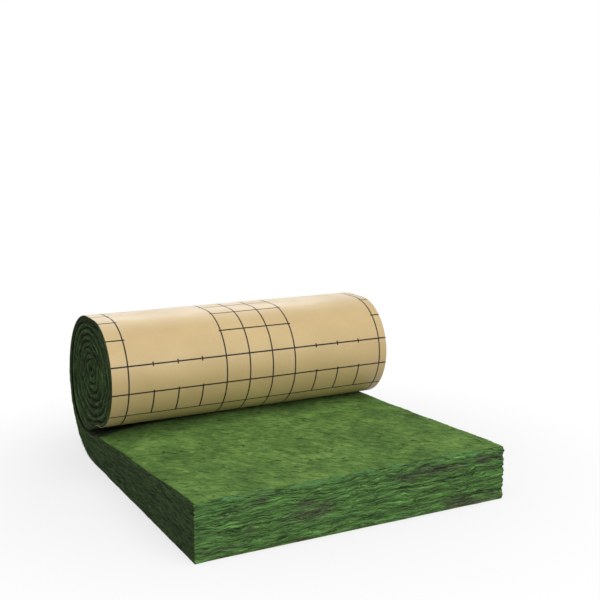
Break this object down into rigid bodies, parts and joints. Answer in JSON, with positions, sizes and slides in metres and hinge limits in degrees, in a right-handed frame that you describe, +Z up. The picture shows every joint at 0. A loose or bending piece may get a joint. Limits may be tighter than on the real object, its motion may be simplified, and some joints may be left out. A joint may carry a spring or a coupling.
{
  "type": "insulation roll",
  "caption": "Roll of mineral wool insulation with a kraft paper facing, partly unrolled so that its free length lies flat and has sprung back to full thickness.",
  "frame": {"origin": "on the floor, at the centre of the bounding box", "axes": "+Z up; +Y from the free end back to the roll; +X along the roll's axis, across the blanket"},
  "size_m": [1.2, 1.3878, 0.5955],
  "materials": {
    "mineral_wool": "matt fibrous",
    "kraft_paper": "matt"
  },
  "bodies": {
    "root": {"wool_blanket": "mineral_wool", "kraft_facing": "kraft_paper"}
  },
  "joints": []
}
